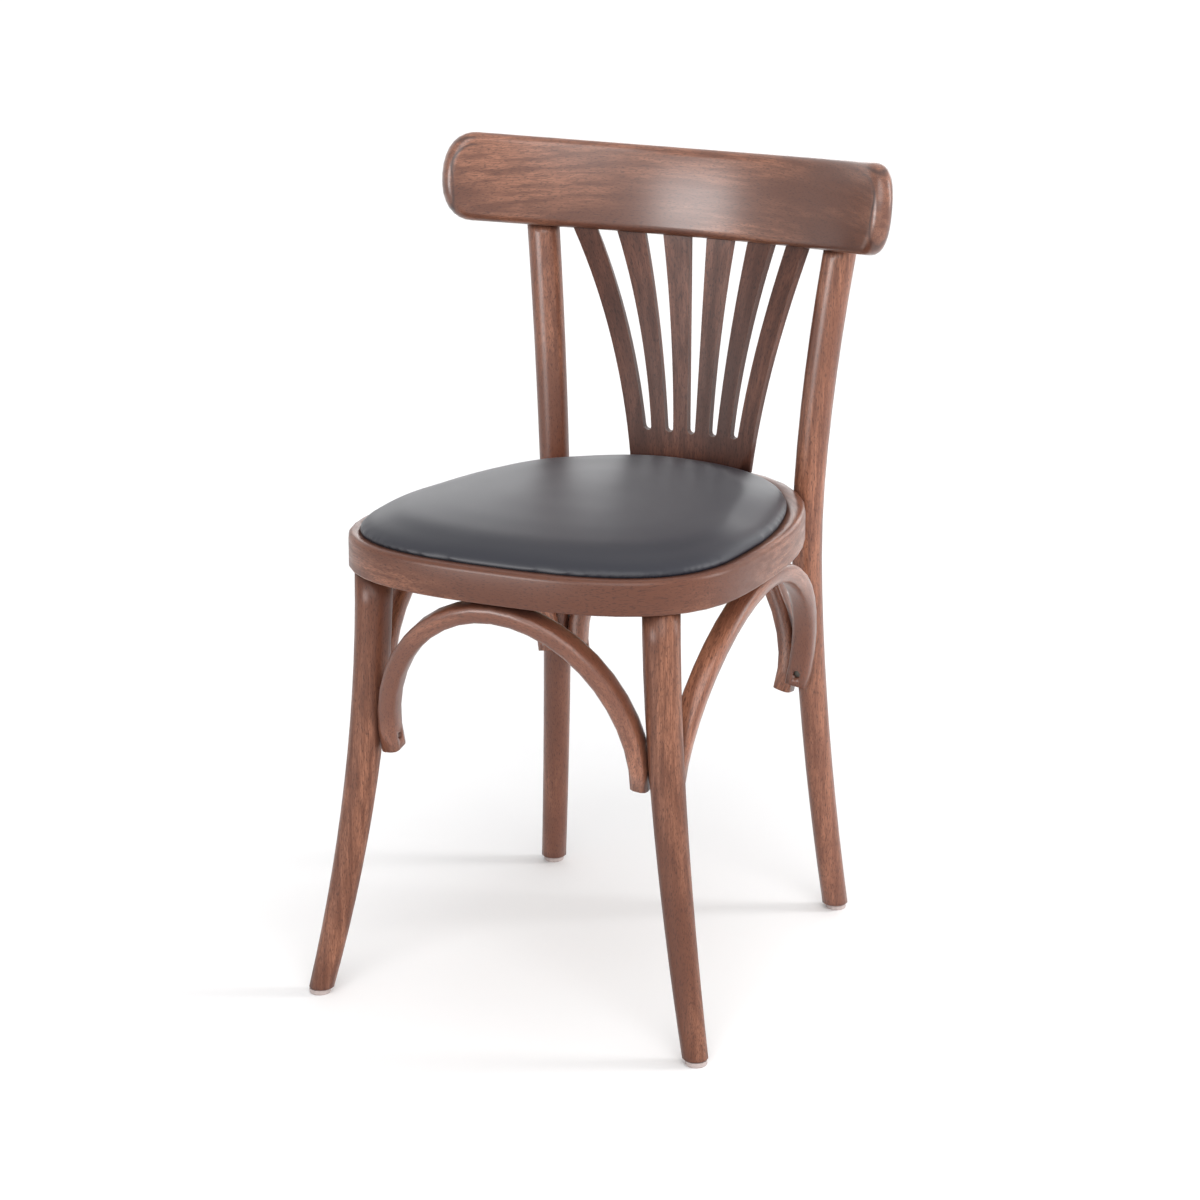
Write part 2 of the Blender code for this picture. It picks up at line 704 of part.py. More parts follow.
def fan_splat():
    bm = bmesh.new()
    behind = bm.verts.layers.float_vector.new("behind")

    def add_row(place, xs):
        row = []
        for x in xs:
            vert = bm.verts.new(place(x, 0.0))
            vert[behind] = place(x, SPLAT_THICKNESS)
            row.append(vert)
        return row

    seat_z = splat_foot_z()
    rows = []
    for z in splat_heights():
        share = (z - seat_z) / (CREST_BOTTOM_Z - seat_z)
        rows.append(add_row(lambda x, depth: splat_point(x, share, depth), splat_across(z)))
    for above in (SLOT_ABOVE_CREST_EDGE, SPLAT_GROOVE_DEPTH):
        across = splat_across(CREST_BOTTOM_Z)
        rows.append(add_row(lambda x, depth: splat_crest_point(x, depth, above), across))
    for k, (lower, upper) in enumerate(zip(rows, rows[1:])):
        for i in range(len(lower) - 1):
            in_slot = i % 4 == 3
            if not in_slot or k == len(rows) - 2:
                bm.faces.new((lower[i], lower[i + 1], upper[i + 1], upper[i]))

    first, last = 4, len(rows[0]) - 4
    drop = UP * SPLAT_TENON_LENGTH
    foot_xs = splat_across(seat_z)[first:last]
    foot = add_row(lambda x, depth: splat_seat_point(x, depth) - drop, foot_xs)
    for i in range(len(foot) - 1):
        if i % 4 != 3:
            above = rows[0][first:last]
            bm.faces.new((foot[i], foot[i + 1], above[i + 1], above[i]))

    bmesh.ops.remove_doubles(bm, verts=bm.verts, dist=MERGE)
    bmesh.ops.dissolve_degenerate(bm, edges=bm.edges, dist=MERGE)
    rim = [edge for edge in bm.edges if edge.is_boundary]
    back = {vert: bm.verts.new(vert[behind]) for vert in list(bm.verts)}
    for face in list(bm.faces):
        bm.faces.new([back[vert] for vert in reversed(face.verts)])
    for edge in rim:
        one, two = edge.verts
        bm.faces.new((one, two, back[two], back[one]))
    return make_object("fan_splat", bm, "stained_plywood", 30)


def cut_splat_seats(ring, crest):
    """The mortise in the seat ring and the groove in the rail's lower edge."""
    tenon = slot_centre(SLOT_COUNT - 1, splat_foot_z())
    half = splat_seat_point(tenon, SPLAT_THICKNESS).x + GAP
    sag = SPLAT_SEAT_Y - splat_seat_point(tenon).y
    low = (-half, -sag - GAP, -SPLAT_TENON_LENGTH - GAP)
    high = (half, SPLAT_THICKNESS + GAP, CUT_BEYOND)
    origin = Vector((0, SPLAT_SEAT_Y, splat_foot_z()))
    mortise = block(low, high, origin, Vector((1, 0, 0)), Vector((0, 1, 0)), UP)
    cut(ring, as_cutter(make_object("mortise_seat_ring", mortise, None)))

    reach = splat_half_width(CREST_BOTTOM_Z) + GAP
    near = splat_groove_depth() - GAP
    far = splat_groove_depth() + SPLAT_THICKNESS + GAP
    rings = []
    low = -CUT_BEYOND
    top = SPLAT_GROOVE_DEPTH + GAP
    section = ((near, low), (far, low), (far, top), (near, top))
    for i in range(SPLAT_GROOVE_STEPS + 1):
        x = -reach + 2 * reach * i / SPLAT_GROOVE_STEPS
        arc = CREST_RADIUS * math.asin(x / (CREST_RADIUS + splat_groove_depth()))
        rings.append([crest_point(arc, depth, height) for depth, height in section])
    cut(crest, as_cutter(make_object("groove_crest_rail", loft(rings), None)))


# Arches


def arch_section():
    """(in the arch's plane, across it) pairs of a rounded rectangle."""
    a = ARCH_THICKNESS / 2 - ARCH_ROUND
    b = ARCH_DEPTH / 2 - ARCH_ROUND
    points = []
    for quadrant, (sx, sy) in enumerate(((1, 1), (-1, 1), (-1, -1), (1, -1))):
        for i in range(3):
            t = math.radians(90 * quadrant + 45 * i)
            points.append((sx * a + ARCH_ROUND * math.cos(t), sy * b + ARCH_ROUND * math.sin(t)))
    return points


def arch_reach(lean):
    """How far the leaning section reaches above its centre line."""
    a = ARCH_THICKNESS / 2 - ARCH_ROUND
    b = ARCH_DEPTH / 2 - ARCH_ROUND
    return a * math.cos(lean) + b * math.sin(lean) + ARCH_ROUND


class Arch:
    """The places of one arch, worked out from the two legs it joins and the ring above it.

    The arch is widest where it bears on the legs, and its feet draw in a little below that.
    """

    def __init__(self, name, leg_a, leg_b, crown_xy, power, foot_z, inset=Vector((0, 0, 0))):
        self.name = name
        self.power = power
        self.foot_z = foot_z
        centre_a, radius_a = leg_a
        centre_b, radius_b = leg_b
        flat = centre_b - centre_a
        self.along = Vector((flat.x, flat.y, 0)).normalized()
        half_section = ARCH_THICKNESS / 2 + GAP
        side_a = centre_a + self.along * (radius_a + half_section) + inset
        side_b = centre_b - self.along * (radius_b + half_section) + inset
        self.middle = (side_a + side_b) / 2
        self.half_span = (side_b - side_a).length / 2
        sideways = Vector((crown_xy[0], crown_xy[1], 0)) - Vector((self.middle.x, self.middle.y, 0))
        sideways -= sideways.dot(self.along) * self.along
        lean = math.atan2(sideways.length, SEAT_BOTTOM_Z - ARCH_WIDEST_Z)
        crown_z = SEAT_BOTTOM_Z - seat_drop(crown_xy[1]) - GAP - arch_reach(lean)
        self.rise = sideways + UP * (crown_z - ARCH_WIDEST_Z)
        self.across = self.along.cross(self.rise).normalized()

    def turn_at(self, z):
        """The turn, measured from the widest level, at which the first limb has this height."""
        share = (z - ARCH_WIDEST_Z) / self.rise.z
        return math.copysign(math.asin(abs(share) ** (self.power / 2)), share)

    def centre(self, turn):
        c = math.cos(turn)
        s = math.sin(turn)
        out = math.copysign(abs(c) ** (2 / self.power), c)
        up = math.copysign(abs(s) ** (2 / self.power), s)
        return self.middle - self.along * self.half_span * out + self.rise * up

    def rings(self):
        """Sections from one foot over the crown to the other."""
        section = arch_section()
        start = self.turn_at(self.foot_z)
        step = 0.02
        result = []
        for i in range(ARCH_STEPS + 1):
            turn = start + (math.pi - 2 * start) * i / ARCH_STEPS
            here = self.centre(turn)
            tangent = (self.centre(turn + step) - self.centre(turn - step)).normalized()
            outward = tangent.cross(self.across)
            result.append([here + a * outward + b * self.across for a, b in section])
        return result

    def build(self):
        return make_object(self.name, loft(self.rings()), "stained_beech")

    def seat_block(self, end):
        """The block that a leg's flat seat is cut with; end is -1 for the first leg, 1 for the second."""
        face = self.half_span + ARCH_THICKNESS / 2 + GAP
        inner = face - 2 * ARCH_THICKNESS
        low = (face, -ARCH_DEPTH, self.foot_z - ARCH_WIDEST_Z - ARCH_SEAT_BELOW_FOOT)
        high = (inner, ARCH_DEPTH, ARCH_SEAT_REACH)
        return block(low, high, self.middle, end * self.along, self.across, UP)

    def foot_screw(self, end):
        """Where a foot's screw starts on the arch's inner face, and the way it runs."""
        place = self.centre(self.turn_at(self.foot_z + FOOT_SCREW_ABOVE_FOOT))
        reach = (self.middle - place).dot(self.along)
        if end > 0:
            place += 2 * reach * self.along
        return place - end * self.along * (ARCH_THICKNESS / 2), end * self.along

    def crown_screw(self):
        crown = self.middle + self.rise
        return crown - UP * (ARCH_THICKNESS / 2), UP


def make_arches():
    left_leg = (leg_centre(1, ARCH_WIDEST_Z), leg_radius(ARCH_WIDEST_Z))
    right_leg = (leg_centre(-1, ARCH_WIDEST_Z), leg_radius(ARCH_WIDEST_Z))
    left_post = (post_centre(1, ARCH_WIDEST_Z), post_radius(ARCH_WIDEST_Z))
    right_post = (post_centre(-1, ARCH_WIDEST_Z), post_radius(ARCH_WIDEST_Z))
    front = ring_point(math.radians(-90), RING_WIDTH / 2)
    rear = ring_point(math.radians(90), RING_WIDTH / 2)
    side_y = (left_leg[0].y + left_post[0].y) / 2
    left = ring_point(ring_angle_of(RING_HALF_WIDTH, side_y), RING_WIDTH / 2 + SIDE_ARCH_INSET)
    shift = Vector((SIDE_ARCH_INSET, 0, 0))
    front_form = (FRONT_ARCH_POWER, ARCH_FOOT_Z)
    rear_form = (REAR_ARCH_POWER, REAR_ARCH_FOOT_Z)
    side_form = (SIDE_ARCH_POWER, ARCH_FOOT_Z)
    left_xy = (left.x, left.y)
    right_xy = (-left.x, left.y)
    return {
        "front_arch": Arch("front_arch", right_leg, left_leg, (0, front.y), *front_form),
        "rear_arch": Arch("rear_arch", right_post, left_post, (0, rear.y), *rear_form),
        "left_arch": Arch("left_arch", left_leg, left_post, left_xy, *side_form, -shift),
        "right_arch": Arch("right_arch", right_leg, right_post, right_xy, *side_form, shift),
    }


# Fasteners


def screw_profile(head, shank, head_depth, length, grow=0.0, open_end=0.0):
    """A flat countersunk screw, or with grow and open_end the hole that takes it."""
    return [
        (-open_end, head + grow),
        (SCREW_HEAD_RIM + grow, head + grow),
        (head_depth + grow, shank + grow),
        (length - SCREW_POINT + grow, shank + grow),
        (length + grow, shank * 0.4 + grow),
    ]


def drive_screw(name, start, direction, sink, length, pieces):
    """A countersunk screw with its head sunk below the start point, and its hole in every piece."""
    direction = direction.normalized()
    seat = start + direction * sink
    body = screw_profile(SCREW_HEAD, SCREW_SHANK, SCREW_HEAD_DEPTH, length)
    make_object(name, turned(seat, direction, body, SCREW_SIDES), "dark_steel")
    hole = screw_profile(SCREW_HEAD, SCREW_SHANK, SCREW_HEAD_DEPTH, length, GAP, SCREW_HOLE_BEYOND)
    cutter = as_cutter(make_object("hole_" + name, turned(seat, direction, hole, SCREW_SIDES), None))
    for piece in pieces:
        cut(piece, cutter)


def drive_bolt(name, start, direction, length, pieces):
    """A washer-head bolt in a shallow spot face, and its hole in every piece."""
    direction = direction.normalized()
    seat = start + direction * BOLT_SINK
    body = [
        (-GAP - BOLT_HEAD_DEPTH, BOLT_HEAD * 0.6),
        (-GAP - BOLT_HEAD_DEPTH * 0.45, BOLT_HEAD * 0.75),
        (-GAP - BOLT_HEAD_DEPTH * 0.3, BOLT_HEAD),
        (-GAP, BOLT_HEAD),
        (-GAP, BOLT_SHANK),
        (length - BOLT_POINT, BOLT_SHANK),
        (length, BOLT_SHANK * 0.5),
    ]
    make_object(name, turned(seat, direction, body, BOLT_SIDES), "dark_steel")
    hole = [
        (-BOLT_HOLE_BEYOND, BOLT_HEAD + GAP),
        (0, BOLT_HEAD + GAP),
        (0, BOLT_SHANK + GAP),
        (length + GAP, BOLT_SHANK + GAP),
    ]
    cutter = as_cutter(make_object("hole_" + name, turned(seat, direction, hole, BOLT_SIDES), None))
    for piece in pieces:
        cut(piece, cutter)


def foot_glide(name, centre, leg):
    """A nail-on glide, its pin driven up into the end of the leg."""
    body = [
        (0, GLIDE_RADIUS - GLIDE_CHAMFER),
        (GLIDE_CHAMFER, GLIDE_RADIUS),
        (GLIDE_HEIGHT, GLIDE_RADIUS),
        (GLIDE_HEIGHT, GLIDE_PIN_RADIUS),
        (GLIDE_HEIGHT + GLIDE_PIN_LENGTH, GLIDE_PIN_RADIUS),
    ]
    make_object(name, turned(centre, UP, body, GLIDE_SIDES), "white_plastic")
    reach = GLIDE_HEIGHT + GLIDE_PIN_LENGTH + GAP
    hole = [(0, GLIDE_PIN_RADIUS + GAP), (reach, GLIDE_PIN_RADIUS + GAP)]
    cut(leg, as_cutter(make_object("hole_" + name, turned(centre, UP, hole, GLIDE_SIDES), None)))


# Assembly


def build_chair():
    clear_scene()
    ring = seat_ring()
    seat_pad()
    crest = make_object("crest_rail", crest_body(), "stained_beech", 50)
    fan_splat()
    cut_splat_seats(ring, crest)

    legs = {}
    for side, word in ((1, "left"), (-1, "right")):
        legs["front_" + word] = front_leg(side, "front_leg_" + word)
        legs["rear_" + word] = rear_post(side, "rear_post_" + word)
        cut_tenon_socket(ring, side, word)
        seat_notch(legs["rear_" + word], word)
    crest_cutter = as_cutter(make_object("lap_crest_rail", crest_body(GAP), None))
    for word in ("left", "right"):
        cut(legs["rear_" + word], crest_cutter)

    arches = make_arches()
    joined = {
        "front_arch": ("front_right", "front_left"),
        "rear_arch": ("rear_right", "rear_left"),
        "left_arch": ("front_left", "rear_left"),
        "right_arch": ("front_right", "rear_right"),
    }
    for name, arch in arches.items():
        piece = arch.build()
        for end, leg_name in zip((-1, 1), joined[name]):
            leg = legs[leg_name]
            seat = as_cutter(make_object("seat_" + name + "_" + leg_name, arch.seat_block(end), None))
            cut(leg, seat)
            start, way = arch.foot_screw(end)
            screw = name + "_screw_" + ("1" if end < 0 else "2")
            drive_screw(screw, start, way, FOOT_SCREW_SINK, FOOT_SCREW_LENGTH, (piece, leg))
        start, way = arch.crown_screw()
        drive_screw(name + "_crown_screw", start, way, CROWN_SCREW_SINK, CROWN_SCREW_LENGTH, (piece, ring))

    board = bpy.data.objects["seat_board"]
    for number, degrees in enumerate(SEAT_SCREW_ANGLES, 1):
        angle = math.radians(degrees)
        start = ring_point(angle, (rim_width(angle) + RING_WIDTH) / 2, SEAT_BOTTOM_Z)
        drive_screw(f"seat_screw_{number}", start, UP, SEAT_SCREW_SINK, SEAT_SCREW_LENGTH, (ring, board))

    for side, word in ((1, "left"), (-1, "right")):
        post = legs["rear_" + word]
        z = SEAT_BOTTOM_Z + (RING_HEIGHT - RABBET_DEPTH) / 2
        centre = post_centre(side, z)
        angle = ring_angle_of(centre.x, centre.y)
        start = ring_point(angle, RING_WIDTH, z)
        length = RING_WIDTH + BOLT_INTO_POST
        drive_bolt("post_bolt_" + word, start, -ring_inward(angle), length, (ring, post))
        for number, height in enumerate(CREST_SCREW_HEIGHTS, 1):
            level = CREST_BOTTOM_Z + height
            middle = post_centre(side, level)
            arc = crest_arc_at(middle.x)
            inner = crest_point(arc, 0, height)
            outer = crest_point(arc, CREST_THICKNESS, height)
            way = (inner - outer).normalized()
            out = post_radius(level)
            start = middle - way * out
            name = f"crest_screw_{word}_{number}"
            drive_screw(name, start, way, CREST_SCREW_SINK, CREST_SCREW_LENGTH, (post, crest))

    for side, word in ((1, "left"), (-1, "right")):
        front = leg_centre(side, 0)
        rear = post_centre(side, 0)
        foot_glide("glide_front_" + word, front, legs["front_" + word])
        foot_glide("glide_rear_" + word, rear, legs["rear_" + word])


build_chair()
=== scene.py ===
# Looks of the bentwood dining chair: lacquered beech, dark plywood splat and a leatherette seat
#
# The grain of every wooden piece follows the way its timber is bent. It is laid on as three
# lengths per corner: along the fibres, across them and into the piece, all in metres.

import math

import bmesh
import bpy
import numpy as np
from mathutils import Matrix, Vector


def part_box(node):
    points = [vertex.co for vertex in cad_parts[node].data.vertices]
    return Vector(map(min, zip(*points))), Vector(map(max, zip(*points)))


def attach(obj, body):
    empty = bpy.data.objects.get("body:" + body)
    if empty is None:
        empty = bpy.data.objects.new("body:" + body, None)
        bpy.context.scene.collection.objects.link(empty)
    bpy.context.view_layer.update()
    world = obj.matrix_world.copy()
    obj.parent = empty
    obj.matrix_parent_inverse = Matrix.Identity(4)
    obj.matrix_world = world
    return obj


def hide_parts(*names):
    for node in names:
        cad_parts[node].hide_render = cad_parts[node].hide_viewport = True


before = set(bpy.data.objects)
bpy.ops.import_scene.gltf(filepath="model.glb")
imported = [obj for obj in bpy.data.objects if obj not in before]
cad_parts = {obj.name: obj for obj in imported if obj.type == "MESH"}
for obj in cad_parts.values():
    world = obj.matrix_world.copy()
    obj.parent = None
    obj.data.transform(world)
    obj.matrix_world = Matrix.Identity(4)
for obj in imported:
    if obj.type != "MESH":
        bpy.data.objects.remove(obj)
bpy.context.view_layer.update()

# Cushion, swelled by a cloth simulation
COVER_OVER_FOAM = 0.0034
CUSHION_VOXEL = 0.0035
CUSHION_SMOOTHING = 24
CUSHION_PRESSURE = 4
CUSHION_EVENING = 80
CUSHION_SOFTENING = 8
CUSHION_FRAMES = 20
CUSHION_SWELL_CAP = 0.004
CUSHION_HELD_BELOW_RIM = 0.001
SMOOTH_FACTOR = 0.5
SHORTEST_MOVE = 1e-9

# Camera, at the photograph's angle
CAMERA_PLACE = (1.4944, -3.0798, 1.3643)
CAMERA_TARGET = (0.1777, -0.3730, 0.4886)
CAMERA_LENS = 109.12
CAMERA_SENSOR = 36

# Studio light by the direction a ray leaves in, heights being the upward part of that direction
WALL_GLOW = 1.35
WALL_TOP = 0.46
WALL_BLEND = 0.12
DARK_GLOW = 0.4
CEILING_EDGE = 0.8
CEILING_BLEND = 0.2
CEILING_GLOW = 1.4
DARK_SIDE = (-0.97, -0.24, 0.0)
DARK_SIDE_BAND = (0.1, 0.9)
DARK_SIDE_SHARE = 0.15

# Sun
SUN_STRENGTH = 1.65
SUN_SOFTNESS = math.radians(50)
SUN_AZIMUTH = math.radians(26)
SUN_HEIGHT = math.radians(38)
SUN_AWAY = 4.0

# Lamps: power, place, target, size, and whether they light the sheen alone
LAMPS = {
    "rim": (31, (2.4, 1.2, 1.5), (0, 0, 0.4), (0.7, 1.8), False),
    "key": (66, (-1.25, -2.8, 0.95), (0, 0.1, 0.6), (1.6, 1.3), True),
    "back": (42, (-1.0, 4.6, 1.45), (0, 0, 0.4), (5.0, 1.1), True),
}

# Floor
FLOOR_SIZE = 60
FLOOR_COLOUR = (0.93, 0.93, 0.935, 1)

# Wood textures: scale along, across and into the grain, and level of detail
CLOUDS = ((4, 16, 16), 3.0)
STREAKS = ((14, 190, 190), 4.0)
FIBRES = ((45, 1100, 1100), 2.0)
PORES = ((220, 1300, 1300), 1.0)
PATCHES = ((30, 60, 60), 2.0)
LINE_BREAKS = ((60, 60, 60), 2.0)

# Bands: the two values that a change runs between, and what it gives there where not 0 and 1
CLOUD_BAND = (0.38, 0.62)
STREAK_BAND = (0.38, 0.68, 0.0, 0.85)
FIBRE_BAND = (0.35, 0.65, 0.0, 0.6)
PORE_BAND = (0.55, 0.66)
PATCH_BAND = (0.35, 0.65, 0.0, 0.5)
EDGE_WEAR_AND_HIGHLIGHT_BAND = (0.995, 0.86)
PAINTED_SHADE_BAND = (0.35, 0.8, 0.55, 0.0)
LINE_BREAK_BAND = (0.3, 0.6, 0.35, 1.0)
GLOSS_BAND = (0.3, 0.7)

# Lacquer: how far the roughness strays either way, how far the lighter edges reach (worn finish and
# painted highlight), and how far the painted shade in hollows and between parts reaches
GLOSSIER = 0.05
DULLER = 0.07
EDGE_WEAR_AND_HIGHLIGHT_RADIUS = 0.0022
PAINTED_SHADE_REACH = 0.014
SURFACE_SAMPLES = 6

# Leatherette
LEATHER_TOP = (0.015, 0.0155, 0.024, 1)
LEATHER_VALLEY = (0.0085, 0.009, 0.0135, 1)
VALLEY_BAND = (0.0, 0.12, 0.3, 0.0)
PEBBLE_BAND = (0.0, 0.18)
LEATHER_ROUGHNESS_BAND = (0.3, 0.7, 0.46, 0.50)

# Small parts
MOTTLE_BAND = (0.35, 0.7)

# Dark lines at the crest's ends: how far in from the outline, and how dark
END_LINES = ((0.0110, 0.95), (0.0040, 0.8))
LINE_INNER_FADE = 0.0025
LINE_OUTER_FADE = 0.0018
LINE_START = 1.6
CREST_CORNER = 0.036

# Where each piece lies in the textures, so that no two show the same figure
GRAIN_STEP = 1.7
RING_SHIFT = 0.3
CREST_SHIFT = 0.9
SPLAT_SHIFT = 0.5
SPLAT_FLARE = 1.0

# Meshes
MERGE_DISTANCE = 0.00001
SHARP_ANGLE = math.radians(38)
ARCH_SHARP_ANGLE = math.radians(60)


# Node graphs


def feed(tree, node, inputs):
    for key, value in inputs.items():
        socket = node.inputs[key]
        if isinstance(value, bpy.types.NodeSocket):
            tree.links.new(value, socket)
        else:
            socket.default_value = value


def add_node(tree, kind, settings=None, **inputs):
    node = tree.nodes.new(kind)
    for key, value in (settings or {}).items():
        setattr(node, key, value)
    feed(tree, node, {key.replace("_", " "): value for key, value in inputs.items()})
    return node


def calculated(tree, operation, first, second):
    node = add_node(tree, "ShaderNodeMath", {"operation": operation})
    feed(tree, node, {0: first, 1: second})
    return node.outputs["Value"]


def vector_node(tree, operation, *vectors):
    node = add_node(tree, "ShaderNodeVectorMath", {"operation": operation})
    feed(tree, node, dict(enumerate(vectors)))
    return node


def scaled(tree, vector, scale):
    return vector_node(tree, "MULTIPLY", vector, scale).outputs["Vector"]


def ranged(tree, value, low, high, to_low=0.0, to_high=1.0):
    node = add_node(tree, "ShaderNodeMapRange", {"interpolation_type": "SMOOTHSTEP"}, Value=value)
    feed(tree, node, {"From Min": low, "From Max": high, "To Min": to_low, "To Max": to_high})
    return node.outputs["Result"]


def mixed(tree, factor, first, second):
    node = add_node(tree, "ShaderNodeMix", {"data_type": "RGBA"})
    colours = [index for index, socket in enumerate(node.inputs) if socket.type == "RGBA"]
    feed(tree, node, {0: factor, colours[0]: first, colours[1]: second})
    return [socket for socket in node.outputs if socket.type == "RGBA"][0]


def grain_noise(tree, grain, scale, detail):
    place = scaled(tree, grain, scale)
    return add_node(tree, "ShaderNodeTexNoise", Vector=place, Scale=1.0, Detail=detail).outputs["Fac"]


def start_material(name):
    material = bpy.data.materials.new(name)
    material.use_nodes = True
    tree = material.node_tree
    return material, tree, tree.nodes["Principled BSDF"]


def edge_wear_and_highlight(tree, radius):
    """How strongly the surface turns within a short distance: 0 on flats, 1 on edges, where the wood
    is lightened as worn finish and as a painted highlight.
    """
    bevel = add_node(tree, "ShaderNodeBevel", {"samples": SURFACE_SAMPLES}, Radius=radius)
    geometry = add_node(tree, "ShaderNodeNewGeometry")
    dot = vector_node(tree, "DOT_PRODUCT", bevel.outputs["Normal"], geometry.outputs["Normal"])
    return ranged(tree, dot.outputs["Value"], *EDGE_WEAR_AND_HIGHLIGHT_BAND)


def shaded(colour, share):
    return tuple(c * share for c in colour[:3]) + (1,)


def end_lines(tree, grain, middle, half, corner):
    """Two thin dark lines along the rounded ends of a board, 0 elsewhere."""
    offset = vector_node(tree, "SUBTRACT", grain, (middle[0], middle[1], 0)).outputs["Vector"]
    span = vector_node(tree, "ABSOLUTE", scaled(tree, offset, (1, 1, 0))).outputs["Vector"]
    straight = (half[0] - corner, half[1] - corner, 0)
    beyond = vector_node(tree, "SUBTRACT", span, straight).outputs["Vector"]
    outside = vector_node(tree, "MAXIMUM", beyond, (0, 0, 0)).outputs["Vector"]
    distance = vector_node(tree, "LENGTH", outside).outputs["Value"]
    along = add_node(tree, "ShaderNodeSeparateXYZ", Vector=span).outputs["X"]
    share = ranged(tree, along, half[0] - LINE_START * corner, half[0] - corner)
    lines = 0.0
    for inset, strength in END_LINES:
        centre = corner - inset
        near = ranged(tree, distance, centre - LINE_INNER_FADE, centre)
        far = ranged(tree, distance, centre, centre + LINE_OUTER_FADE, strength, 0.0)
        lines = calculated(tree, "MAXIMUM", lines, calculated(tree, "MULTIPLY", near, far))
    uneven = ranged(tree, grain_noise(tree, grain, *LINE_BREAKS), *LINE_BREAK_BAND)
    patched = calculated(tree, "MULTIPLY", lines, uneven)
    return calculated(tree, "MULTIPLY", patched, share)


def wood(name, light, dark, fleck, edge_wear_and_highlight_colour, roughness, fleck_share, coat, strength=1.0, ends=None):
    """Stained close-grained timber under satin lacquer."""
    # strength scales one piece's colours: partly that piece's own tone, partly painted light for how
    # brightly the piece is lit
    light = shaded(light, strength)
    dark = shaded(dark, strength)
    material, tree, shader = start_material(name)
    grain = add_node(tree, "ShaderNodeAttribute", {"attribute_name": "grain"}).outputs["Vector"]
    clouds = grain_noise(tree, grain, *CLOUDS)
    streaks = grain_noise(tree, grain, *STREAKS)
    fibres = grain_noise(tree, grain, *FIBRES)
    pores = grain_noise(tree, grain, *PORES)

    tone = mixed(tree, ranged(tree, clouds, *CLOUD_BAND), light, dark)
    tone = mixed(tree, ranged(tree, streaks, *STREAK_BAND), tone, dark)
    tone = mixed(tree, ranged(tree, fibres, *FIBRE_BAND), tone, dark)
    tone = mixed(tree, ranged(tree, pores, *PORE_BAND, 0.0, fleck_share), tone, fleck)
    patches = ranged(tree, grain_noise(tree, grain, *PATCHES), *PATCH_BAND)
    # Lighter edges in patches: partly worn finish, partly a painted highlight along the edges
    edge_wear_and_highlight_mask = calculated(tree, "MULTIPLY", edge_wear_and_highlight(tree, EDGE_WEAR_AND_HIGHLIGHT_RADIUS), patches)
    tone = mixed(tree, edge_wear_and_highlight_mask, tone, edge_wear_and_highlight_colour)
    settings = {"samples": SURFACE_SAMPLES}
    # Painted shade: ambient occlusion darkens hollows, the legs under the ring and the places where
    # parts meet towards the fleck colour
    painted_shade_ao = add_node(tree, "ShaderNodeAmbientOcclusion", settings, Distance=PAINTED_SHADE_REACH)
    tone = mixed(tree, ranged(tree, painted_shade_ao.outputs["AO"], *PAINTED_SHADE_BAND), tone, fleck)
    if ends:
        tone = mixed(tree, end_lines(tree, grain, *ends), tone, fleck)

    uneven = ranged(tree, streaks, *GLOSS_BAND, roughness - GLOSSIER, roughness + DULLER)
    bump = add_node(tree, "ShaderNodeBump", Strength=0.25, Distance=0.0002, Height=fibres)
    finish = {
        "Base Color": tone,
        "Roughness": uneven,
        "Specular IOR Level": 0.16,
        "Coat Weight": coat,
        "Coat Roughness": 0.29,
        "Normal": bump.outputs["Normal"],
    }
    feed(tree, shader, finish)
    return material


def leatherette():
    """Black coated cloth: a fine pebbled grain and a soft satin sheen."""
    material, tree, shader = start_material("leatherette_look")
    place = add_node(tree, "ShaderNodeTexCoord").outputs["Object"]
    edges = {"feature": "DISTANCE_TO_EDGE"}
    pebbles = add_node(tree, "ShaderNodeTexVoronoi", edges, Vector=place, Scale=1100.0)
    soft = add_node(tree, "ShaderNodeTexNoise", Vector=place, Scale=9.0, Detail=2.0)
    valleys = ranged(tree, pebbles.outputs["Distance"], *VALLEY_BAND)
    height = ranged(tree, pebbles.outputs["Distance"], *PEBBLE_BAND)
    fine = add_node(tree, "ShaderNodeBump", Strength=0.10, Distance=0.0001, Height=height)
    finish = {
        "Base Color": mixed(tree, valleys, LEATHER_TOP, LEATHER_VALLEY),
        "Roughness": ranged(tree, soft.outputs["Fac"], *LEATHER_ROUGHNESS_BAND),
        "Specular IOR Level": 0.3,
        "Coat Weight": 0.35,
        "Coat Roughness": 0.45,
        "Normal": fine.outputs["Normal"],
    }
    feed(tree, shader, finish)
    return material


def plain(name, colour, roughness, darkest=0.64, metallic=0.0):
    """A small part's finish, its colour a little uneven."""
    material, tree, shader = start_material(name)
    place = add_node(tree, "ShaderNodeTexCoord").outputs["Object"]
    cloud = add_node(tree, "ShaderNodeTexNoise", Vector=place, Scale=60.0, Detail=3.0)
    mottle = ranged(tree, cloud.outputs["Fac"], *MOTTLE_BAND)
    tone = mixed(tree, mottle, colour, shaded(colour, darkest))
    feed(tree, shader, {"Base Color": tone, "Roughness": roughness, "Metallic": metallic})
    return material


# Grain directions


def upright_grain(co):
    return co.z, co.x, co.y


def ring_grain():
    """Grain that runs round the ring, its seam behind."""
    low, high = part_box("seat_ring")
    centre = (low + high) / 2
    radius = (high.x - low.x) / 2

    def place(co):
        a = co.x - centre.x
        b = centre.y - co.y
        return math.atan2(a, b) * radius, math.hypot(a, b), co.z

    return place, 2 * math.pi * radius


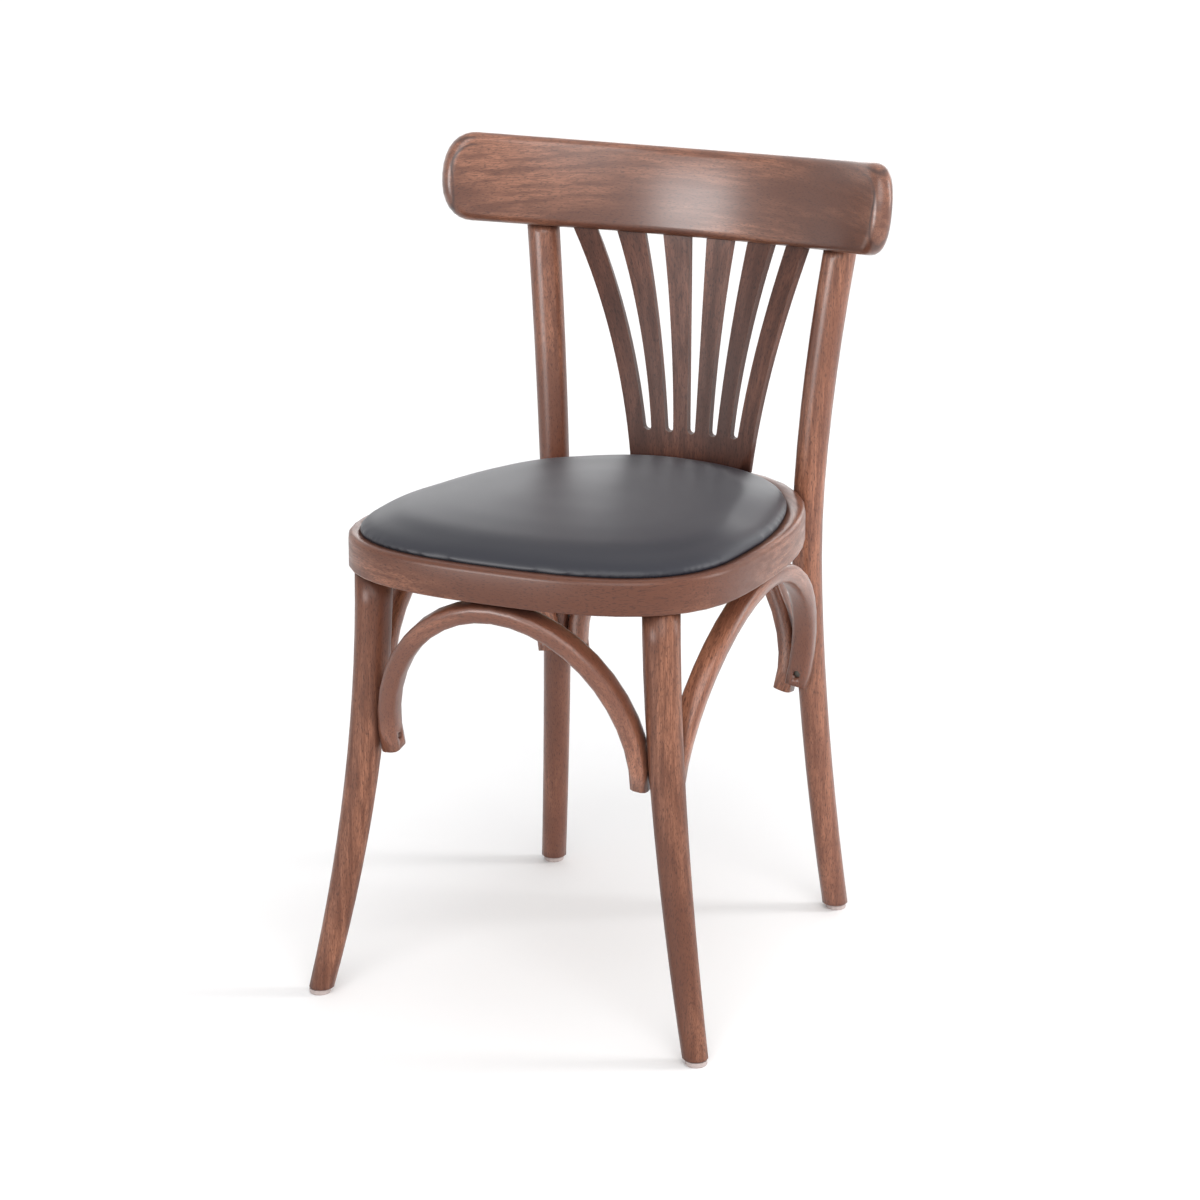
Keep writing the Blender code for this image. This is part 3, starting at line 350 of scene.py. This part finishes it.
def arch_grain(node, flat_axis):
    """Grain that runs in a circle about a point under the arch's crown, its seam below."""
    low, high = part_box(node)
    radius = (high[flat_axis] - low[flat_axis]) / 2
    centre = (low + high) / 2
    centre.z = high.z - radius

    def place(co):
        a = co[flat_axis] - centre[flat_axis]
        b = co.z - centre.z
        return math.atan2(a, b) * radius, math.hypot(a, b), co[1 - flat_axis]

    return place, 2 * math.pi * radius


def crest_grain():
    """Grain along the bent rail, and the rail's outline in the same lengths."""
    low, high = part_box("crest_rail")
    half = (high.x - low.x) / 2
    sag = high.y - low.y
    radius = (half**2 + sag**2) / (2 * sag)
    centre_y = high.y - radius

    def place(co):
        return math.atan2(co.x, co.y - centre_y) * radius, co.z, math.hypot(co.x, co.y - centre_y)

    middle = (CREST_SHIFT, (low.z + high.z) / 2 + CREST_SHIFT)
    reach = (math.asin(half / radius) * radius, (high.z - low.z) / 2)
    return place, 2 * math.pi * radius, (middle, reach, CREST_CORNER)


def fan_grain():
    """Upright grain that spreads towards the top as the slats do."""
    low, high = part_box("fan_splat")

    def place(co):
        share = (co.z - low.z) / (high.z - low.z)
        return co.z, co.x / (1 + SPLAT_FLARE * share**2), co.y

    return place


def lay_grain(mesh, place, turn, shift):
    """Writes the grain lengths on every corner, keeping each face clear of the seam."""
    attribute = mesh.attributes.new("grain", "FLOAT_VECTOR", "CORNER")
    values = np.zeros((len(mesh.loops), 3), np.float32)
    for polygon in mesh.polygons:
        reference = None
        for index in polygon.loop_indices:
            co = mesh.vertices[mesh.loops[index].vertex_index].co
            along, across, deep = place(co)
            if reference is None:
                reference = along
            elif turn:
                along -= round((along - reference) / turn) * turn
            values[index] = (along + shift, across + shift, deep)
    attribute.data.foreach_set("vector", values.ravel())


# Pieces


def copied_mesh(node, name):
    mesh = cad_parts[node].data.copy()
    mesh.name = name
    bm = bmesh.new()
    bm.from_mesh(mesh)
    bmesh.ops.remove_doubles(bm, verts=bm.verts, dist=MERGE_DISTANCE)
    bm.to_mesh(mesh)
    bm.free()
    return mesh


def paint(mesh, material):
    mesh.materials.clear()
    mesh.materials.append(material)


def wooden_piece(node, material, place, turn, shift, sharp=SHARP_ANGLE):
    mesh = copied_mesh(node, node + "_look")
    mesh.shade_smooth()
    mesh.set_sharp_from_angle(angle=sharp)
    lay_grain(mesh, place, turn, shift)
    obj = bpy.data.objects.new(node + "_look", mesh)
    bpy.context.scene.collection.objects.link(obj)
    paint(mesh, material)
    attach(obj, "root")
    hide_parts(node)


def settle_modifiers(obj):
    graph = bpy.context.evaluated_depsgraph_get()
    settled = bpy.data.meshes.new_from_object(obj.evaluated_get(graph))
    obj.modifiers.clear()
    obj.data = settled


def positions(mesh):
    values = np.zeros(len(mesh.vertices) * 3, np.float32)
    mesh.vertices.foreach_get("co", values)
    return values.reshape(-1, 3).astype(float)


def swell(obj, held_below):
    """Blows the cushion up above a held lower edge, then evens out and limits the movement."""
    before = positions(obj.data)
    loose = (before[:, 2] >= held_below)[:, None]
    held = obj.vertex_groups.new(name="held")
    held.add([v.index for v in obj.data.vertices if v.co.z < held_below], 1.0, "REPLACE")
    cloth = obj.modifiers.new("cloth", "CLOTH")
    cloth.settings.vertex_group_mass = "held"
    cloth.settings.use_pressure = True
    cloth.settings.uniform_pressure_force = CUSHION_PRESSURE
    cloth.settings.effector_weights.gravity = 0
    scene = bpy.context.scene
    for number in range(1, CUSHION_FRAMES + 1):
        scene.frame_set(number)
    settle_modifiers(obj)
    scene.frame_set(1)
    moves = np.where(loose, positions(obj.data) - before, 0)
    ends = np.array([edge.vertices[:] for edge in obj.data.edges])
    count = np.bincount(ends.ravel(), minlength=len(moves))[:, None]
    for _ in range(CUSHION_EVENING):
        total = np.zeros_like(moves)
        np.add.at(total, ends[:, 0], moves[ends[:, 1]])
        np.add.at(total, ends[:, 1], moves[ends[:, 0]])
        moves = np.where(loose, total / count, 0)
    lengths = np.maximum(np.linalg.norm(moves, axis=1), SHORTEST_MOVE)[:, None]
    moves *= np.minimum(CUSHION_SWELL_CAP / lengths, 1)
    obj.data.vertices.foreach_set("co", (before + moves).astype(np.float32).ravel())


def add_smoothing(obj, name, rounds):
    smooth = obj.modifiers.new(name, "SMOOTH")
    smooth.factor = SMOOTH_FACTOR
    smooth.iterations = rounds


def make_cushion(material):
    mesh = copied_mesh("cushion_foam", "cushion_look")
    bm = bmesh.new()
    bm.from_mesh(mesh)
    bm.normal_update()
    for vertex in bm.verts:
        vertex.co += vertex.normal * COVER_OVER_FOAM
    bm.to_mesh(mesh)
    bm.free()
    obj = bpy.data.objects.new("cushion_look", mesh)
    bpy.context.scene.collection.objects.link(obj)
    remesh = obj.modifiers.new("even", "REMESH")
    remesh.mode = "VOXEL"
    remesh.voxel_size = CUSHION_VOXEL
    add_smoothing(obj, "smooth", CUSHION_SMOOTHING)
    settle_modifiers(obj)
    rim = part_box("seat_ring")[1].z
    swell(obj, rim - CUSHION_HELD_BELOW_RIM)
    add_smoothing(obj, "softer", CUSHION_SOFTENING)
    finer = obj.modifiers.new("finer", "SUBSURF")
    finer.levels = 1
    finer.render_levels = 1
    settle_modifiers(obj)
    obj.data.shade_smooth()
    paint(obj.data, material)
    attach(obj, "root")
    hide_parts("cushion_cover", "cushion_foam")


# Stage


def point_at(obj, place, target):
    obj.location = place
    obj.rotation_euler = (Vector(target) - Vector(place)).to_track_quat("-Z", "Y").to_euler()


def add_camera():
    data = bpy.data.cameras.new("camera")
    data.sensor_width = CAMERA_SENSOR
    data.lens = CAMERA_LENS
    camera = bpy.data.objects.new("camera", data)
    bpy.context.scene.collection.objects.link(camera)
    point_at(camera, CAMERA_PLACE, CAMERA_TARGET)
    bpy.context.scene.camera = camera


def add_light(name, kind, energy, place, target):
    data = bpy.data.lights.new(name, kind)
    data.energy = energy
    light = bpy.data.objects.new(name, data)
    bpy.context.scene.collection.objects.link(light)
    point_at(light, place, target)
    return light


def add_lights():
    sun_place = (
        SUN_AWAY * math.sin(SUN_AZIMUTH) * math.cos(SUN_HEIGHT),
        -SUN_AWAY * math.cos(SUN_AZIMUTH) * math.cos(SUN_HEIGHT),
        SUN_AWAY * math.sin(SUN_HEIGHT),
    )
    sun = add_light("sun", "SUN", SUN_STRENGTH, sun_place, (0, 0, 0))
    sun.data.angle = SUN_SOFTNESS
    for name, (energy, place, target, size, sheen_only) in LAMPS.items():
        lamp = add_light(name, "AREA", energy, place, target)
        lamp.data.shape = "RECTANGLE"
        lamp.data.size, lamp.data.size_y = size
        lamp.visible_diffuse = not sheen_only


def add_world():
    """A studio: pale walls low down, darker above them, and a broad bright ceiling.

    The camera, reflections and whatever is seen through a piece meet plain white instead.
    """
    world = bpy.data.worlds.new("world")
    world.use_nodes = True
    bpy.context.scene.world = world
    tree = world.node_tree
    place = add_node(tree, "ShaderNodeTexCoord").outputs["Generated"]
    height = add_node(tree, "ShaderNodeSeparateXYZ", Vector=place).outputs["Z"]
    wall_edges = (WALL_TOP - WALL_BLEND, WALL_TOP + WALL_BLEND)
    ceiling_edges = (CEILING_EDGE - CEILING_BLEND, CEILING_EDGE + CEILING_BLEND)
    above_wall = ranged(tree, height, *wall_edges, WALL_GLOW, DARK_GLOW)
    ceiling = ranged(tree, height, *ceiling_edges, 0.0, CEILING_GLOW - DARK_GLOW)
    room = calculated(tree, "ADD", above_wall, ceiling)
    sideways = vector_node(tree, "DOT_PRODUCT", place, DARK_SIDE).outputs["Value"]
    shade = ranged(tree, sideways, *DARK_SIDE_BAND, 1.0, DARK_SIDE_SHARE)
    lit = calculated(tree, "MULTIPLY", room, shade)

    rays = add_node(tree, "ShaderNodeLightPath").outputs
    seen = rays["Is Camera Ray"]
    for kind in ("Is Glossy Ray", "Is Transmission Ray"):
        seen = calculated(tree, "MAXIMUM", seen, rays[kind])
    strength = add_node(tree, "ShaderNodeMix", {"data_type": "FLOAT"}, Factor=seen, A=lit, B=1.0)
    background = {"Strength": strength.outputs["Result"], "Color": (1, 1, 1, 1)}
    feed(tree, tree.nodes["Background"], background)


def add_floor():
    half = FLOOR_SIZE / 2
    corners = [(-half, -half, 0), (half, -half, 0), (half, half, 0), (-half, half, 0)]
    mesh = bpy.data.meshes.new("floor")
    mesh.from_pydata(corners, [], [(0, 1, 2, 3)])
    material, tree, shader = start_material("floor")
    finish = {"Base Color": FLOOR_COLOUR, "Roughness": 0.9, "Specular IOR Level": 0.1}
    feed(tree, shader, finish)
    mesh.materials.append(material)
    floor = bpy.data.objects.new("floor", mesh)
    bpy.context.scene.collection.objects.link(floor)


# The chair


def beech(name, strength, coat, ends=None):
    return wood(
        name,
        light=(0.285, 0.120, 0.070, 1),
        dark=(0.112, 0.040, 0.023, 1),
        fleck=(0.050, 0.020, 0.015, 1),
        edge_wear_and_highlight_colour=(0.46, 0.26, 0.18, 1),
        roughness=0.42,
        fleck_share=0.6,
        coat=coat,
        strength=strength,
        ends=ends,
    )


# Each strength lightens or darkens that piece's copy of the beech: partly a tone that differs from
# part to part, partly painted light, with the posts and arches lighter and the legs under the seat
# darker
post_wood = beech("post_look", strength=1.4, coat=0.6)
leg_wood = beech("leg_look", strength=1.06, coat=0.25)
arch_wood = beech("arch_look", strength=1.42, coat=0.7)
ring_wood = beech("ring_look", strength=1.08, coat=0.35)
splat_wood = wood(
    "splat_look",
    light=(0.170, 0.067, 0.043, 1),
    dark=(0.068, 0.027, 0.019, 1),
    fleck=(0.015, 0.007, 0.006, 1),
    edge_wear_and_highlight_colour=(0.22, 0.12, 0.09, 1),
    roughness=0.42,
    fleck_share=0.5,
    coat=0.1,
)

shift = 0.0
for node in ("front_leg_left", "front_leg_right", "rear_post_left", "rear_post_right"):
    shift += GRAIN_STEP
    upright = leg_wood if node.startswith("front") else post_wood
    wooden_piece(node, upright, upright_grain, None, shift)
for node, flat_axis in (("front_arch", 0), ("rear_arch", 0), ("left_arch", 1), ("right_arch", 1)):
    shift += GRAIN_STEP
    place, turn = arch_grain(node, flat_axis)
    wooden_piece(node, arch_wood, place, turn, shift, ARCH_SHARP_ANGLE)
place, turn = ring_grain()
wooden_piece("seat_ring", ring_wood, place, turn, RING_SHIFT)
place, turn, outline = crest_grain()
crest_wood = beech("crest_look", strength=1.1, coat=0.95, ends=outline)
wooden_piece("crest_rail", crest_wood, place, turn, CREST_SHIFT)
wooden_piece("fan_splat", splat_wood, fan_grain(), None, SPLAT_SHIFT)

make_cushion(leatherette())

board = plain("board_look", (0.46, 0.31, 0.18, 1), roughness=0.7)
glide = plain("glide_look", (0.46, 0.38, 0.36, 1), roughness=0.42, darkest=0.91)
steel = plain("steel_look", (0.09, 0.08, 0.07, 1), roughness=0.42, metallic=1.0)
for name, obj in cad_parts.items():
    if name == "seat_board":
        paint(obj.data, board)
    elif name.startswith("glide_"):
        paint(obj.data, glide)
    elif "screw" in name or "bolt" in name:
        paint(obj.data, steel)

bpy.context.scene.view_settings.view_transform = "Standard"
add_floor()
add_lights()
add_world()
add_camera()
